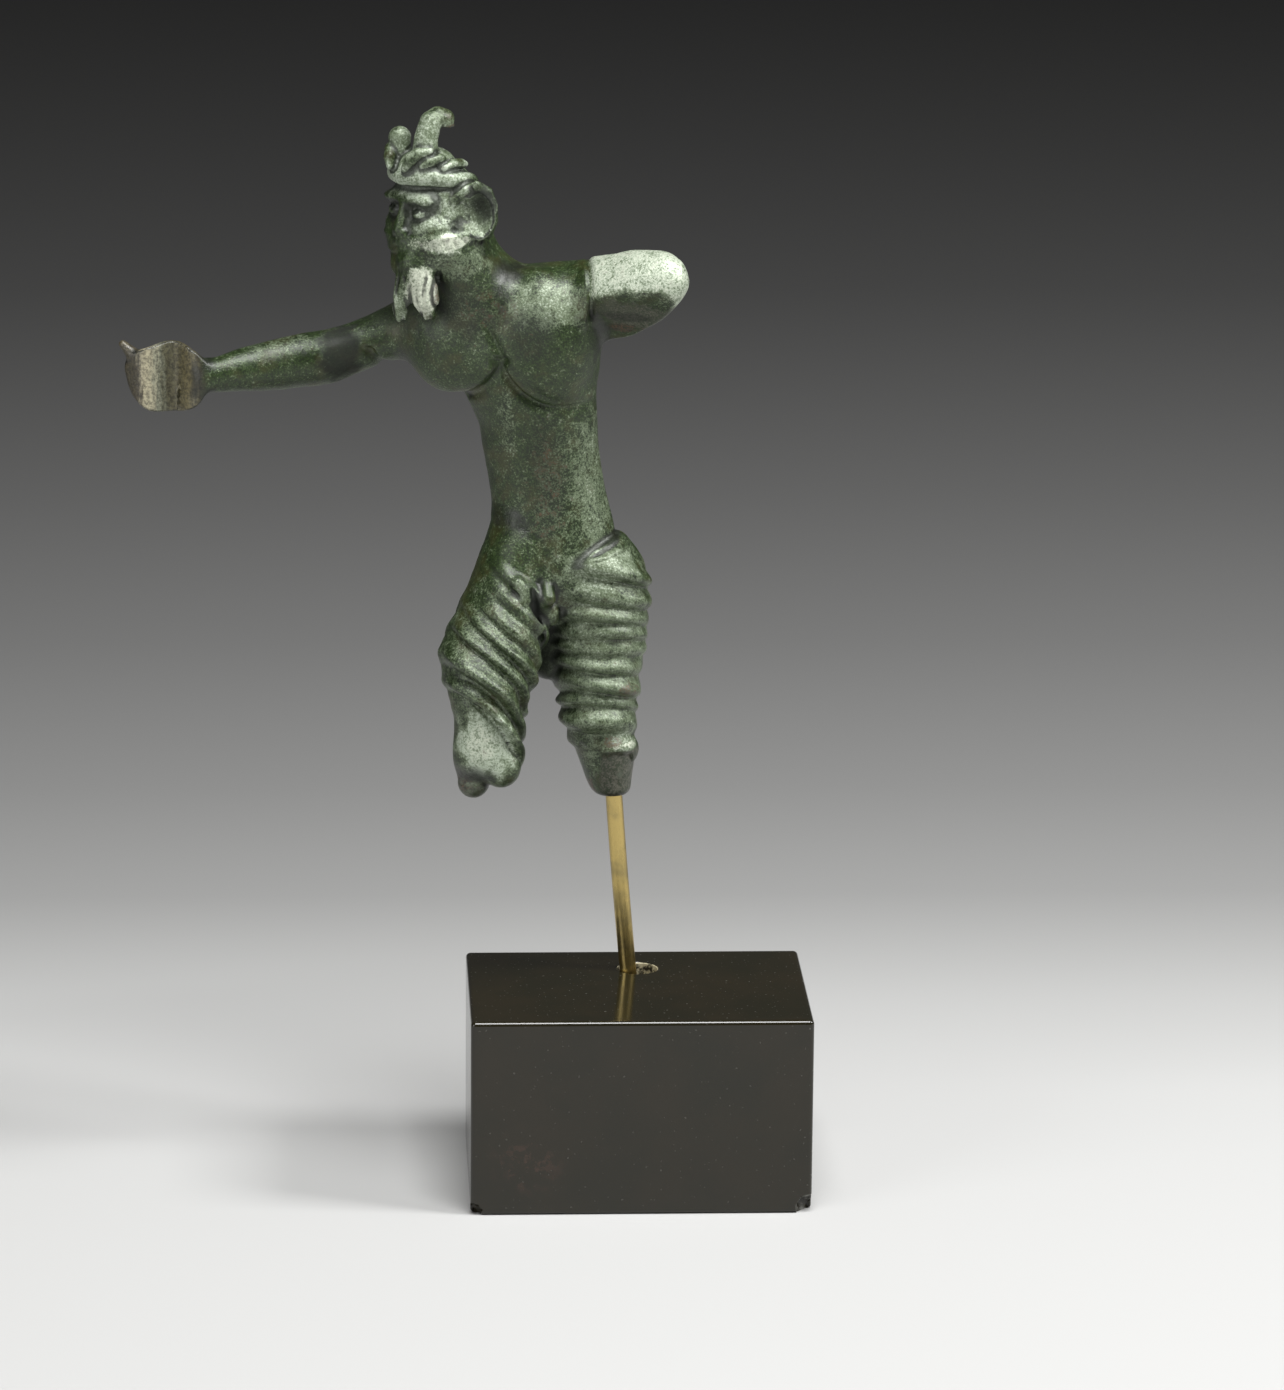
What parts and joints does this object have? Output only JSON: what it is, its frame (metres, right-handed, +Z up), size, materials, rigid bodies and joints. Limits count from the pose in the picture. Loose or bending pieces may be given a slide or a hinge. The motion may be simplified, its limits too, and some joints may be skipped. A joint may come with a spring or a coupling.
{
  "type": "bronze statuette on a rod and block",
  "caption": "Small broken bronze figure of Pan with horns, goat ears, beard and shaggy legs, held up by a brass rod in a black block.",
  "frame": {"origin": "middle of the block's underside", "axes": "+Z up, -Y towards the side that the figure's chest faces, +X to the right as one looks at that side"},
  "size_m": [0.1004, 0.036, 0.1611],
  "materials": {
    "patinated_bronze": "cast bronze with a mottled green patina, worn smooth on the trunk and arm, pale green on the broken arm and olive brown on the broken plate",
    "brushed_brass": "brushed yellow brass, slightly dulled",
    "black_stone": "polished black stone with soft edges, small pale chips at the lower front corners and fine dust"
  },
  "bodies": {
    "root": {"bronze_figure": "patinated_bronze", "mounting_rod": "brushed_brass", "base_block": "black_stone"}
  },
  "joints": []
}
